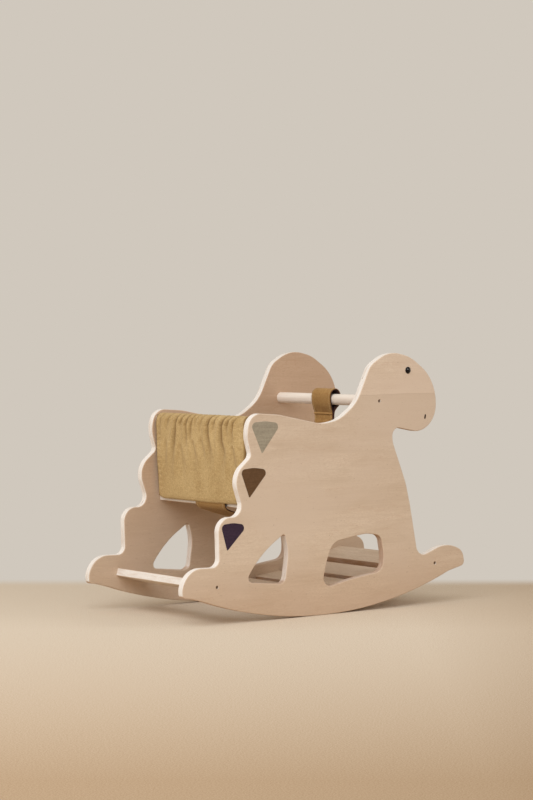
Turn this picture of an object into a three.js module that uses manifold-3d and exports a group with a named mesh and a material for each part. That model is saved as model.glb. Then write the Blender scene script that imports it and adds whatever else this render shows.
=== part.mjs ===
// A wooden rocking animal for a small child: two plywood silhouettes joined by a seat, cross boards
// and bars, with a cloth back over a rod and a strap that runs under the seat and up to the handlebar.
// Millimetres, +X towards the nose, +Y to the animal's left, +Z up, origin on the floor at the middle.

import * as THREE from 'three';
import { mergeVertices } from 'three/addons/utils/BufferGeometryUtils.js';
import Module from 'manifold-3d';

const wasm = await Module();
wasm.setup();

// ---------------------------------------------------------------- driving dimensions

const PLY = 15;                         // thickness of the plywood and of the seat board
const INNER_WIDTH = 295;                // between the two panels
const GAP = 0.3;                        // clearance between pieces that touch
const SAGITTA = 0.1;                    // how far a facet may cut inside its arc
const CURVE_SEGMENTS = 24;              // facets of a drawn arc or ellipse
const DRILL_SIDES = 16;
const BAR_SIDES = 32;
const OVERRUN = 1;                      // how far a drill starts outside the face it enters
const WELD_DISTANCE = 1e-4;             // corners nearer than this are one corner

const ROCKER = { x: -21.5, radius: 886 };
const ROCKER_FACET = 30;                // length of the flats along the runner
const ROCKER_REAR = -306;               // where the runner's arc starts and ends along X
const ROCKER_FRONT = 309;

// Corners of the silhouette [x, z, corner radius], from the toe over the head and the back to the heel.
const TOE = [[351.5, 73.5, 10], [346.5, 102, 25], [304.5, 122, 78]];
const CHEST = [[226, 94, 20], [204, 202, 200], [192.5, 246, 150], [158, 328, 50], [157.5, 357.5, 15.5]];
const HEAD = [
  [217, 346.5, 43], [272, 349, 52], [273, 448, 90],
  [204, 494, 84], [148, 506.5, 78], [100, 477.5, 41],
];
const SADDLE = [[65, 404, 86], [20, 373, 80], [-21, 366.5, 97], [-128, 387, 150]];
const HUMPS = [
  [-191.5, 391, 28], [-203, 352, 60], [-191, 310, 12.5],
  [-233, 275, 40], [-205.5, 196, 21], [-268.5, 201, 27],
];
const TAIL = [
  [-265.5, 107, 16], [-334, 108.5, 43], [-351, 72.5, 30], [-348.5, 55.5, 8], [-332, 53.5, 12],
];

const REAR_CUTOUT = [
  [-112.5, 162, 4.5], [-172, 124, 205], [-205, 75, 9.5], [-111, 66, 15], [-102.5, 129, 86],
];
const FRONT_CUTOUT = [
  [-20.5, 50, 17], [50, 64, 100], [133, 75, 22], [135.5, 105, 75],
  [127.5, 145, 17.5], [91, 151, 80], [6.5, 139, 34], [-11.5, 99, 190],
];

const EYE = {
  x: 197, z: 467.4, radius: 6.8, rise: 2.6,
  rings: 6, sides: 24, pegRadius: 3, pegLength: 7,
};
const NOSTRIL = { x: 243, z: 374.8, halfWidth: 2.1, halfLength: 5.2, lean: 0.2, depth: 1.5 };

const HANDLEBAR = { x: 123, z: 408, radius: 11 };
const BACKREST_ROD = { x: -182, z: 371, radius: 10, socket: 8, sides: 24 };
const SEAT = { rear: -181.5, front: -2, bottom: 210 };

// Boards between the panels: middle of the thickness, and tilt in degrees.
// A positive tilt rises towards the nose.
const BOARD_WIDTH = 62;
const BOARDS = {
  rear_cross_board: { x: -254.8, z: 66.4, tilt: -15, screwAt: -17.5, pinsAt: [17.5] },
  footboard_1: { x: 4.5, z: 32.9, tilt: 1.8, pinsAt: [-17.5, 17.5] },
  footboard_2: { x: 88.7, z: 39.6, tilt: 7.4, pinsAt: [-17.5, 17.5] },
  footboard_3: { x: 170.9, z: 54.5, tilt: 13, pinsAt: [-17.5, 17.5] },
  footboard_4: { x: 253, z: 76.8, tilt: 16, screwAt: 17.5, pinsAt: [-17.5] },
};
const SEAT_PINS_X = [-150, -87, -24];

const PIN = { radius: 4, length: 30, inPanel: 10 };
const SCREW = {
  headRadius: 3, headHeight: 4, sunk: 1.5, shankRadius: 2.1, length: 50, pointLength: 3,
  socketRadius: 1.5, socketDepth: 2.4, socketSides: 6,
};

const CLOTH = 2.4;                      // one layer of the back's cloth
const BACK = { halfWidth: 143, hemX: -187.4, hemBottom: 215.4, hemThickness: 5.4, seamHeight: 12 };
const STRAP = { thickness: 4, hemWidth: 94, loopWidth: 60, hemY: -27, loopY: 1.5, steps: 36 };
// The loop's round top sits on the bar; its walls run down from the shoulder to the seam.
const LOOP = {
  x: 123, z: 415.5, inner: 11.7, wall: 2.2, shoulder: 17,
  seamX: 113.5, seamZ: 380, seamHalfWidth: 2.6, seamHeight: 6,
};
// Middle line of the strap from the hem, under the seat, up to the loop's seam.
const STRAP_LINE = [
  [-187, 212.5], [-184.5, 206.6], [-177, 202.6], [-162, 198.4], [-140, 191.5], [-110, 184],
  [-75, 180], [-38, 185], [-3, 199], [30, 219], [62, 248], [88, 285], [104, 325], [111, 360],
  [113.5, 382],
];

const HALF_INNER = INNER_WIDTH / 2;
const HALF_OUTER = HALF_INNER + PLY;

// ---------------------------------------------------------------- solids

function solidOf(geometry) {
  const plain = geometry.clone();
  plain.deleteAttribute('normal');
  plain.deleteAttribute('uv');
  const merged = mergeVertices(plain, WELD_DISTANCE);
  return new wasm.Manifold(new wasm.Mesh({
    numProp: 3,
    vertProperties: new Float32Array(merged.attributes.position.array),
    triVerts: new Uint32Array(merged.index.array),
  }));
}

function geometryOf(solid) {
  const mesh = solid.getMesh();
  const geometry = new THREE.BufferGeometry();
  geometry.setAttribute('position', new THREE.BufferAttribute(new Float32Array(mesh.vertProperties), 3));
  geometry.setIndex(new THREE.BufferAttribute(new Uint32Array(mesh.triVerts), 1));
  geometry.computeVertexNormals();
  return geometry;
}

function cut(geometry, tools) {
  let solid = solidOf(geometry);
  for (const tool of tools) {
    solid = solid.subtract(solidOf(tool));
  }
  return geometryOf(solid);
}

function join(a, b) {
  return geometryOf(solidOf(a).add(solidOf(b)));
}

// A round bar or a drill along Y, from yFrom to yTo.
function barAlongY(x, z, radius, yFrom, yTo, sides = DRILL_SIDES) {
  const bar = new THREE.CylinderGeometry(radius, radius, Math.abs(yTo - yFrom), sides);
  return bar.translate(x, (yFrom + yTo) / 2, z);
}

// A flat shape drawn in X and Z, made solid from yFrom to yTo.
function plateAlongY(shape, yFrom, yTo) {
  const depth = Math.abs(yTo - yFrom);
  const options = { depth, bevelEnabled: false, curveSegments: CURVE_SEGMENTS };
  const plate = new THREE.ExtrudeGeometry(shape, options);
  return plate.rotateX(Math.PI / 2).translate(0, Math.max(yFrom, yTo), 0);
}

// ---------------------------------------------------------------- outlines

// The facets of the arc that rounds the corner at b, between a and c.
function cornerPoints(a, b, c, radius) {
  const corner = new THREE.Vector2(b[0], b[1]);
  const back = new THREE.Vector2(a[0], a[1]).sub(corner).normalize();
  const ahead = new THREE.Vector2(c[0], c[1]).sub(corner).normalize();
  const half = Math.acos(THREE.MathUtils.clamp(back.dot(ahead), -1, 1)) / 2;
  const middle = back.clone().add(ahead).normalize();
  const centre = corner.clone().addScaledVector(middle, radius / Math.sin(half));
  const start = corner.clone().addScaledVector(back, radius / Math.tan(half)).sub(centre);
  const end = corner.clone().addScaledVector(ahead, radius / Math.tan(half)).sub(centre);
  const turn = Math.atan2(start.cross(end), start.dot(end));
  const step = 2 * Math.acos(1 - SAGITTA / Math.max(radius, 1));
  const count = Math.max(2, Math.ceil(Math.abs(turn) / step));
  const points = [];
  for (let i = 0; i <= count; i += 1) {
    points.push(start.clone().rotateAround(new THREE.Vector2(), (turn * i) / count).add(centre));
  }
  return points;
}

// A closed outline with rounded corners.
function roundedOutline(corners) {
  return corners.flatMap((corner, i) => {
    const before = corners[(i + corners.length - 1) % corners.length];
    const after = corners[(i + 1) % corners.length];
    return cornerPoints(before, corner, after, corner[2]);
  });
}

function rockerHeight(x) {
  return ROCKER.radius - Math.sqrt(ROCKER.radius ** 2 - (x - ROCKER.x) ** 2);
}

// The runner's arc in flats, one of them centred at its lowest point and lying on the floor.
function rockerPoints() {
  const reach = Math.floor((ROCKER_FRONT - ROCKER.x) / ROCKER_FACET);
  const places = [ROCKER_REAR];
  for (let i = -reach; i < reach; i += 1) {
    places.push(ROCKER.x + (i + 0.5) * ROCKER_FACET);
  }
  places.push(ROCKER_FRONT);
  const floor = rockerHeight(ROCKER.x + ROCKER_FACET / 2);
  return places.filter((x) => x >= ROCKER_REAR && x <= ROCKER_FRONT)
    .map((x) => new THREE.Vector2(x, rockerHeight(x) - floor));
}

function silhouette() {
  const rocker = rockerPoints();
  const start = rocker[rocker.length - 1];
  const end = rocker[0];
  const corners = [...TOE, ...CHEST, ...HEAD, ...SADDLE, ...HUMPS, ...TAIL];
  const all = [[start.x, start.y], ...corners, [end.x, end.y]];
  const points = corners.flatMap((corner, i) => cornerPoints(all[i], corner, all[i + 2], corner[2]));
  const shape = new THREE.Shape([...rocker, ...points]);
  shape.holes.push(new THREE.Path(roundedOutline(REAR_CUTOUT)));
  shape.holes.push(new THREE.Path(roundedOutline(FRONT_CUTOUT)));
  return shape;
}

// ---------------------------------------------------------------- places of pins and screws

// A point on a board's middle plane, the given distance along its width from its middle.
function pointOnBoard(board, along) {
  const tilt = THREE.MathUtils.degToRad(board.tilt);
  return { x: board.x + along * Math.cos(tilt), z: board.z + along * Math.sin(tilt) };
}

function pinPlaces() {
  const places = {};
  for (const [name, board] of Object.entries(BOARDS)) {
    board.pinsAt.forEach((along, i) => {
      places[`${name}_pin_${i + 1}`] = pointOnBoard(board, along);
    });
  }
  SEAT_PINS_X.forEach((x, i) => {
    places[`seat_pin_${i + 1}`] = { x, z: SEAT.bottom + PLY / 2 };
  });
  return places;
}

function screwPlaces() {
  return {
    handlebar_screw: { x: HANDLEBAR.x, z: HANDLEBAR.z },
    rear_board_screw: pointOnBoard(BOARDS.rear_cross_board, BOARDS.rear_cross_board.screwAt),
    front_board_screw: pointOnBoard(BOARDS.footboard_4, BOARDS.footboard_4.screwAt),
  };
}

// ---------------------------------------------------------------- drills

// Blind bore for a pin, into a panel's inner face and into a board's end.
function pinDrill(place, side) {
  const outer = side * (HALF_INNER + PIN.inPanel);
  const inner = side * (HALF_INNER + PIN.inPanel - PIN.length - 2 * GAP);
  return barAlongY(place.x, place.z, PIN.radius + GAP, inner, outer);
}

// Counterbore and pilot hole for a screw, from a panel's outer face.
function screwDrills(place, side) {
  const { x, z } = place;
  const headEnd = HALF_OUTER - SCREW.sunk - SCREW.headHeight - GAP;
  const tip = HALF_OUTER - SCREW.sunk - SCREW.length - GAP;
  return [
    barAlongY(x, z, SCREW.headRadius + GAP, side * headEnd, side * (HALF_OUTER + OVERRUN)),
    barAlongY(x, z, SCREW.shankRadius + GAP, side * tip, side * headEnd),
  ];
}

function eyeDrill(side) {
  const bottom = HALF_OUTER - EYE.pegLength - GAP;
  return barAlongY(EYE.x, EYE.z, EYE.pegRadius + GAP, side * bottom, side * (HALF_OUTER + OVERRUN));
}

function rodSocket(side) {
  const { x, z, radius, socket, sides } = BACKREST_ROD;
  const start = side * (HALF_INNER - OVERRUN);
  const end = side * (HALF_INNER + socket);
  return barAlongY(x, z, radius + GAP, start, end, sides);
}

function nostrilDrill(side) {
  const shape = new THREE.Shape();
  const { x, z, halfWidth, halfLength, lean, depth } = NOSTRIL;
  shape.absellipse(x, z, halfWidth, halfLength, 0, 2 * Math.PI, false, -lean);
  return plateAlongY(shape, side * (HALF_OUTER - depth), side * (HALF_OUTER + OVERRUN));
}

// ---------------------------------------------------------------- wooden pieces

function sidePanel(side) {
  const drills = [nostrilDrill(side), eyeDrill(side), rodSocket(side)];
  for (const place of Object.values(pinPlaces())) {
    drills.push(pinDrill(place, side));
  }
  for (const place of Object.values(screwPlaces())) {
    drills.push(...screwDrills(place, side));
  }
  return cut(plateAlongY(silhouette(), side * HALF_INNER, side * HALF_OUTER), drills);
}

// A board in its own frame: width along X, thickness along Z, ends bored for its pins and screws.
function crossBoard(board) {
  const plank = new THREE.BoxGeometry(BOARD_WIDTH, INNER_WIDTH - 2 * GAP, PLY);
  const drills = [];
  for (const side of [-1, 1]) {
    for (const along of board.pinsAt) {
      drills.push(pinDrill({ x: along, z: 0 }, side));
    }
    if (board.screwAt !== undefined) {
      drills.push(screwDrills({ x: board.screwAt, z: 0 }, side)[1]);
    }
  }
  return cut(plank, drills);
}

function seatBoard() {
  const plank = new THREE.BoxGeometry(SEAT.front - SEAT.rear, INNER_WIDTH - 2 * GAP, PLY);
  plank.translate((SEAT.front + SEAT.rear) / 2, 0, SEAT.bottom + PLY / 2);
  const drills = [];
  for (const side of [-1, 1]) {
    for (const x of SEAT_PINS_X) {
      drills.push(pinDrill({ x, z: SEAT.bottom + PLY / 2 }, side));
    }
  }
  return cut(plank, drills);
}

function handlebar() {
  const half = HALF_INNER - GAP;
  const bar = barAlongY(HANDLEBAR.x, HANDLEBAR.z, HANDLEBAR.radius, -half, half, BAR_SIDES);
  return cut(bar, [screwDrills(HANDLEBAR, -1)[1], screwDrills(HANDLEBAR, 1)[1]]);
}

function backrestRod() {
  const half = HALF_INNER + BACKREST_ROD.socket - GAP;
  return barAlongY(BACKREST_ROD.x, BACKREST_ROD.z, BACKREST_ROD.radius, -half, half, BACKREST_ROD.sides);
}

function dowelPin(place, side) {
  const outer = HALF_INNER + PIN.inPanel - GAP;
  return barAlongY(place.x, place.z, PIN.radius, side * (outer - PIN.length), side * outer);
}

// ---------------------------------------------------------------- screws and eyes

// A turned piece around an axis along Y through (x, z).
// The profile is [radius, distance out from the middle plane].
function turnedAlongY(profile, x, z, side, sides) {
  const points = profile.map(([radius, y]) => new THREE.Vector2(radius, y));
  const turned = new THREE.LatheGeometry(points, sides);
  if (side < 0) {
    turned.rotateX(Math.PI);
  }
  return turned.translate(x, 0, z);
}

function screw(place, side) {
  const top = HALF_OUTER - SCREW.sunk;
  const neck = top - SCREW.headHeight;
  const tip = top - SCREW.length;
  const profile = [
    [0, tip], [SCREW.shankRadius, tip + SCREW.pointLength], [SCREW.shankRadius, neck],
    [SCREW.headRadius, neck], [SCREW.headRadius, top], [0, top],
  ];
  const { x, z } = place;
  const bottom = side * (top - SCREW.socketDepth);
  const socket = barAlongY(x, z, SCREW.socketRadius, bottom, side * (top + OVERRUN), SCREW.socketSides);
  return cut(turnedAlongY(profile, x, z, side, DRILL_SIDES), [socket]);
}

// A domed cap on the panel's face with a peg in the panel.
function eye(side) {
  const base = HALF_OUTER + GAP;
  const pegEnd = HALF_OUTER - EYE.pegLength;
  const profile = [[0, pegEnd], [EYE.pegRadius, pegEnd], [EYE.pegRadius, base]];
  for (let i = 0; i <= EYE.rings; i += 1) {
    const angle = (i / EYE.rings) * (Math.PI / 2);
    const radius = i === EYE.rings ? 0 : EYE.radius * Math.cos(angle);
    profile.push([radius, base + EYE.rise * Math.sin(angle)]);
  }
  return turnedAlongY(profile, EYE.x, EYE.z, side, EYE.sides);
}

// ---------------------------------------------------------------- cloth

// The back: cloth over the rod, both layers sewn together at the hem.
function backrestCloth() {
  const { x, z, radius } = BACKREST_ROD;
  const inner = radius + 2 * GAP;
  const outer = inner + CLOTH;
  const hemRear = BACK.hemX - BACK.hemThickness / 2;
  const hemFront = BACK.hemX + BACK.hemThickness / 2;
  const shape = new THREE.Shape();
  shape.moveTo(hemRear, BACK.hemBottom);
  shape.lineTo(hemFront, BACK.hemBottom);
  shape.lineTo(x + outer, z);
  shape.absarc(x, z, outer, 0, Math.PI, false);
  shape.closePath();
  const hole = new THREE.Path();
  hole.moveTo(BACK.hemX, BACK.hemBottom + BACK.seamHeight);
  hole.lineTo(x + inner, z);
  hole.absarc(x, z, inner, 0, Math.PI, false);
  hole.closePath();
  shape.holes.push(hole);
  return plateAlongY(shape, -BACK.halfWidth, BACK.halfWidth);
}

// A flat band of changing width along a line in X and Z.
// The share called along runs from 0 at its start to 1 at its end.
function band(line, thickness, widthAt, middleAt, steps) {
  const places = line.map(([x, z]) => new THREE.Vector3(x, 0, z));
  const curve = new THREE.CatmullRomCurve3(places, false, 'centripetal');
  const positions = [];
  const index = [];
  for (let i = 0; i <= steps; i += 1) {
    const along = i / steps;
    const point = curve.getPointAt(along);
    const tangent = curve.getTangentAt(along);
    const normal = new THREE.Vector3(-tangent.z, 0, tangent.x).multiplyScalar(thickness / 2);
    const reach = widthAt(along) / 2;
    for (const [sideways, up] of [[-1, -1], [1, -1], [1, 1], [-1, 1]]) {
      positions.push(point.x + up * normal.x, middleAt(along) + sideways * reach, point.z + up * normal.z);
    }
  }
  const quad = (a, b, c, d) => index.push(a, c, b, a, d, c);
  for (let i = 0; i < steps; i += 1) {
    for (let k = 0; k < 4; k += 1) {
      const next = (k + 1) % 4;
      quad(4 * i + k, 4 * i + 4 + k, 4 * i + 4 + next, 4 * i + next);
    }
  }
  quad(0, 1, 2, 3);
  quad(4 * steps + 3, 4 * steps + 2, 4 * steps + 1, 4 * steps);
  const geometry = new THREE.BufferGeometry();
  geometry.setAttribute('position', new THREE.Float32BufferAttribute(positions, 3));
  geometry.setIndex(index);
  return geometry;
}

// The sewn loop round the handlebar: a teardrop with its point at the seam.
function strapLoop() {
  const { x, z, inner, seamX, seamZ, seamHalfWidth, seamHeight } = LOOP;
  const outer = inner + LOOP.wall;
  const lower = z - LOOP.shoulder;
  const foot = seamZ - seamHeight / 3;
  const shape = new THREE.Shape();
  shape.moveTo(seamX - seamHalfWidth, foot);
  shape.lineTo(seamX + seamHalfWidth, foot);
  shape.lineTo(x + outer, lower);
  shape.absarc(x, z, outer, 0, Math.PI, false);
  shape.lineTo(x - outer, lower);
  shape.closePath();
  const hole = new THREE.Path();
  hole.moveTo(seamX + GAP, foot + seamHeight);
  hole.lineTo(x + inner, lower + OVERRUN);
  hole.absarc(x, z, inner, 0, Math.PI, false);
  hole.lineTo(x - inner, lower + OVERRUN);
  hole.closePath();
  shape.holes.push(hole);
  return plateAlongY(shape, STRAP.loopY - STRAP.loopWidth / 2, STRAP.loopY + STRAP.loopWidth / 2);
}

function strap() {
  const widthAt = (along) => THREE.MathUtils.lerp(STRAP.hemWidth, STRAP.loopWidth, along);
  const middleAt = (along) => THREE.MathUtils.lerp(STRAP.hemY, STRAP.loopY, along);
  return join(band(STRAP_LINE, STRAP.thickness, widthAt, middleAt, STRAP.steps), strapLoop());
}

// ---------------------------------------------------------------- assembly

const finishes = {
  plywood: { color: 0xc5a88a, roughness: 0.6, metalness: 0 },
  hardwood: { color: 0xe4d2c0, roughness: 0.55, metalness: 0 },
  cloth: { color: 0xb59565, roughness: 0.95, metalness: 0 },
  eyeBlack: { color: 0x0a080a, roughness: 0.12, metalness: 0 },
  darkSteel: { color: 0x3a2f28, roughness: 0.45, metalness: 0.8 },
};

const rocker = new THREE.Group();

function add(name, geometry, finish) {
  const mesh = new THREE.Mesh(geometry, new THREE.MeshStandardMaterial(finishes[finish]));
  mesh.name = name;
  rocker.add(mesh);
  return mesh;
}

add('seat_board', seatBoard(), 'plywood');
add('handlebar', handlebar(), 'hardwood');
add('backrest_rod', backrestRod(), 'hardwood');
add('backrest_fabric', backrestCloth(), 'cloth');
add('strap_fabric', strap(), 'cloth');

for (const [name, board] of Object.entries(BOARDS)) {
  const mesh = add(name, crossBoard(board), 'plywood');
  mesh.position.set(board.x, 0, board.z);
  mesh.rotation.y = -THREE.MathUtils.degToRad(board.tilt);
}

for (const [word, side] of [['right', -1], ['left', 1]]) {
  add(`side_panel_${word}`, sidePanel(side), 'plywood');
  add(`eye_${word}`, eye(side), 'eyeBlack');
  for (const [name, place] of Object.entries(screwPlaces())) {
    add(`${name}_${word}`, screw(place, side), 'darkSteel');
  }
  for (const [name, place] of Object.entries(pinPlaces())) {
    add(`${name}_${word}`, dowelPin(place, side), 'hardwood');
  }
}

export default rocker;
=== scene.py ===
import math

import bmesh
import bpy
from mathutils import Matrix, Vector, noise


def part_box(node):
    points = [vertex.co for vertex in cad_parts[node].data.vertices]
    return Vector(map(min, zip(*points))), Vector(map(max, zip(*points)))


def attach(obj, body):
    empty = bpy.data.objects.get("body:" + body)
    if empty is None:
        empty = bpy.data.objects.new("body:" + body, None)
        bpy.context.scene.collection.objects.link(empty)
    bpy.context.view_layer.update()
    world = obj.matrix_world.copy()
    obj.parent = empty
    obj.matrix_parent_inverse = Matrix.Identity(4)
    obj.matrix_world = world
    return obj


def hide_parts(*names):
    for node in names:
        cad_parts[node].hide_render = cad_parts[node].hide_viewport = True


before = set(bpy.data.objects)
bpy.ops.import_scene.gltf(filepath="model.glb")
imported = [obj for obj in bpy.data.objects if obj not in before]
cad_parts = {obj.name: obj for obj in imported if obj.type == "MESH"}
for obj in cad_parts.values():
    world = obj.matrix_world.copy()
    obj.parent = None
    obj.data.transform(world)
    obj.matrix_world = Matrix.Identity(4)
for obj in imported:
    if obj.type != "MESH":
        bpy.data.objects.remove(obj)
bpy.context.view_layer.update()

# The looks of a wooden rocking animal for a small child: birch plywood with rounded edges, turned bars,
# a gathered cloth back over a rod, a lined strap looped round the handlebar, painted spots and eyes.
# Row frame: +X towards the nose, +Y to the animal's left, +Z up, metres. MM is a millimetre in metres.

MM = 0.001

# ---- driving sizes, in millimetres

PLY = 15
PLY_LAYERS = 11
PANEL_ROUNDOVER = 1.9
# Each panel's seed, the height where its veneers are joined, and how strong the painted shade on its
# faces is.
PANELS = {"right": (1.0, 424, 0.0), "left": (2.6, 330, 0.8)}
BOARD_ROUNDOVER = 1.6
ROUNDOVER_STEPS = 5
CURVE_STEP = math.radians(3.5)  # a curved outline has a point for each such turn
SAME_LENGTH = 1.5  # chords whose lengths differ by more aren't of one arc
SAME_PLACE = 1e-5  # metres
REAL_CORNER = math.radians(20)  # a board's section turns by more at its corners
SHARP_EDGE = math.radians(40)  # edges of bars and screws that stay sharp
BOARD_TILTS = {  # degrees, positive rises towards the nose
    "rear_cross_board": -15, "footboard_1": 1.8, "footboard_2": 7.4,
    "footboard_3": 13, "footboard_4": 16, "seat_board": 0,
}
NOSTRIL_BOX = (236, 250, 366, 384)  # X and Z limits of the nostril
NOSTRIL_BELOW = 161.5  # its walls and bottom lie nearer the middle plane than this
FOOTBOARD_EDGE_SHADE = 0.85  # how strong the painted shade on the footboards' edges is

CLOTH_THICK = 1.2
BACK_TOP = 384  # height of the cloth over the rod
BACK_HEM = 215.6  # height of its lower edge
BACK_HEM_X = -187.4  # where its lower edge hangs
BACK_FOLD = 3.0  # radius of its fold at the hem
BACK_REACH = (-145.5, 144.2)  # its side edges
BACK_CORNER = 1.8  # how far its top corners are drawn in
BACK_ROLL = 8  # width of the margin that curls forward at each side
BACK_EDGE_SEAM = 12  # from the cloth's side edge to its stitches
BACK_HEM_SEAM = 4.5
BACK_STEPS = 104  # rows up each side
BACK_COLUMNS = 224
REAR_SIDE = 0.2  # the layer behind the rod faces less than this towards the nose
WEAVE_PITCH = 0.8

# Gathers of the cloth back: places (Y, depth below its top) along each crease, then how deep it is,
# its half width and how much painted shade its crease gets.
FOLDS = [
    ([(119, 1), (128, 12), (132, 30), (134, 70)], 1.6, 3.2, 0.4),
    ([(92, 1), (102, 12), (108, 28), (110, 46)], 2.0, 3.0, 0.5),
    ([(67, 1), (72, 9), (76, 18), (78, 32), (84, 59), (90, 82), (95, 106), (96, 150)], 4.4, 2.8, 1.0),
    ([(50, 1), (55, 9), (61, 18), (64, 34)], 3.6, 2.3, 1.0),
    ([(31, 1), (37, 9), (43, 20), (42, 38), (44, 76)], 3.8, 2.4, 1.0),
    ([(16, 1), (21, 11), (26, 22), (29, 40), (27, 66)], 3.0, 2.3, 0.85),
    ([(3, 1), (9, 9), (13, 18), (14, 30)], 1.4, 2.6, 0.35),
    ([(-14, 1), (-8, 10), (-3, 22), (-1, 40)], 1.8, 2.8, 0.4),
    ([(-41, 1), (-34, 9), (-28, 19), (-27, 38), (-33, 65), (-34, 90), (-30, 124)], 4.2, 3.0, 1.0),
    ([(-57, 1), (-52, 8), (-47, 18), (-45, 34)], 3.4, 2.2, 0.9),
    ([(-86, 1), (-78, 9), (-71, 19), (-69, 48), (-76, 70), (-72, 92), (-63, 120), (-60, 144)],
     4.6, 3.2, 1.0),
    ([(-103, 1), (-95, 9), (-89, 20), (-87, 40)], 3.8, 2.3, 1.0),
    ([(-121, 1), (-114, 7), (-108, 15), (-105, 30), (-107, 60)], 3.2, 2.4, 0.8),
    ([(22, 54), (16, 84), (12, 140)], 2.8, 6.0, 0.3),
    ([(-6, 50), (-12, 80), (-14, 134)], 2.4, 6.0, 0.25),
    ([(62, 64), (58, 100), (60, 144)], 2.6, 6.0, 0.25),
    ([(112, 56), (116, 96), (112, 148)], 2.6, 5.5, 0.3),
    ([(-106, 60), (-112, 96), (-106, 148)], 3.0, 5.5, 0.35),
]
COVER = 1.1  # the strap's outer cloth
LINING = 1.6  # and its lining, which shows at its edges
STITCH = {"length": 2.3, "pitch": 3.3, "thick": 0.4, "sides": 6}

# Middle line of the strap: the hem, under the seat, up to the bar, over it and down to its own face.
STRAP_LINE = [
    (-187, 223), (-186.9, 213), (-183.6, 206.4), (-176, 202.4), (-162, 198.4), (-140, 191.5),
    (-110, 184), (-75, 180), (-38, 185), (-3, 199), (30, 219), (62, 248), (88, 285), (106, 320),
    (115.4, 348), (118.6, 364), (119, 377), (121, 385.5), (126.5, 392), (133, 398), (136, 406),
    (135.6, 415), (132.5, 423), (126, 428.2), (118, 427.4), (112, 422.5), (109.6, 415), (109.7, 407),
    (110.7, 399), (112.7, 391), (115.2, 384), (116.2, 377), (115.9, 364), (113, 349.5),
]
STRAP_STEP = 2.2  # between its rows
STRAP_COLUMNS = 34  # an even number, so that one line runs along its middle
CURVE_PARTS = 24  # of a smooth curve between two of its points
STRAP_WIDTHS = (94, 59)  # at the hem and at the loop
STRAP_MIDDLES = (-27, 0.5)  # Y of its middle at both
# Shares of the strap's length, from the hem: where it has its loop width, where the loop's two layers
# lie flat on each other, and where its loose tail starts.
STRAP_TAPER_END = 0.6
STRAP_FLAT = (0.64, 0.7)
STRAP_TAIL = (0.9, 0.95)
STRAP_TAKEN_IN = 2.5  # how much narrower its left side is below the loop
STRAP_SEAM = 380.5  # height of the stitched tuck on the strap's rear face

# Painted spots: corners [X, Z, corner radius] of each outline.
SPOTS = {
    "sage": [(-194.5, 372.5, 8.5), (-160, 375.5, 60), (-121, 370.5, 8.5), (-166.6, 314.5, 1.6)],
    "brown": [(-218, 286, 8), (-186, 289, 60), (-150, 284, 8), (-196.6, 232.5, 1.6)],
    "aubergine": [(-263, 185.5, 8), (-235, 188.2, 60), (-200, 182.8, 8), (-248.4, 136.5, 1.6)],
}
SPOT_THICK = 0.16
SPOT_GAP = 0.01

EYE = {"radius": 6.8, "rise": 2.6, "rim": 0.55, "peg": 3, "gap": 0.3}
EYE_RIM_STEPS = 4
EYE_DOME_STEPS = 14
TURNED_SIDES = 72

# ---- colours, as seen on a screen


def seen(red, green, blue):
    """A colour of the screen, 0 to 255, as Blender's linear colour."""
    def linear(value):
        share = value / 255
        return share / 12.92 if share <= 0.04045 else ((share + 0.055) / 1.055) ** 2.4
    return (linear(red), linear(green), linear(blue), 1.0)


FACE_LIGHT = seen(231, 213, 192)
FACE_DARK = seen(200, 176, 150)
FACE_PINK = seen(218, 198, 178)
FACE_UPPER = seen(243, 223, 205)
# Colour that the painted shade on the panels' faces multiplies in.
FACE_SHADE = seen(222, 203, 186)
FACE_VEIN = seen(196, 158, 126)
FACE_PORE = seen(150, 118, 90)
EDGE_LIGHT = seen(249, 247, 245)
EDGE_DARK = seen(237, 228, 218)
# Colour of the painted shade on edges that face down, lie in the cut-outs or belong to the footboards.
EDGE_GLUE = seen(194, 166, 138)
EDGE_SHADE = seen(178, 134, 94)
EDGE_VOID = seen(82, 54, 38)
BAR_LIGHT = seen(247, 238, 228)
BAR_DARK = seen(232, 218, 204)
CLOTH_LIGHT = seen(215, 188, 138)
CLOTH_DARK = seen(170, 139, 90)
CLOTH_SHADOW = seen(112, 82, 44)
# The strap's cloth: the back's ochre cloth made darker and browner, as painted shade.
STRAP_LIGHT = seen(198, 159, 102)
STRAP_DARK = seen(157, 115, 65)
LINING_LIGHT = seen(92, 58, 50)
LINING_DARK = seen(56, 36, 38)
THREAD = seen(206, 180, 130)
PAINTS = {"sage": seen(160, 151, 133), "brown": seen(96, 67, 38), "aubergine": seen(48, 28, 52)}
STEEL = seen(168, 142, 116)
WALL = seen(208, 200, 189)
FLOOR_NEAR = seen(227, 215, 198)
FLOOR_GRIT = seen(194, 173, 147)
FLOOR_DIM = seen(205, 189, 171)

# ---- material graphs


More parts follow.
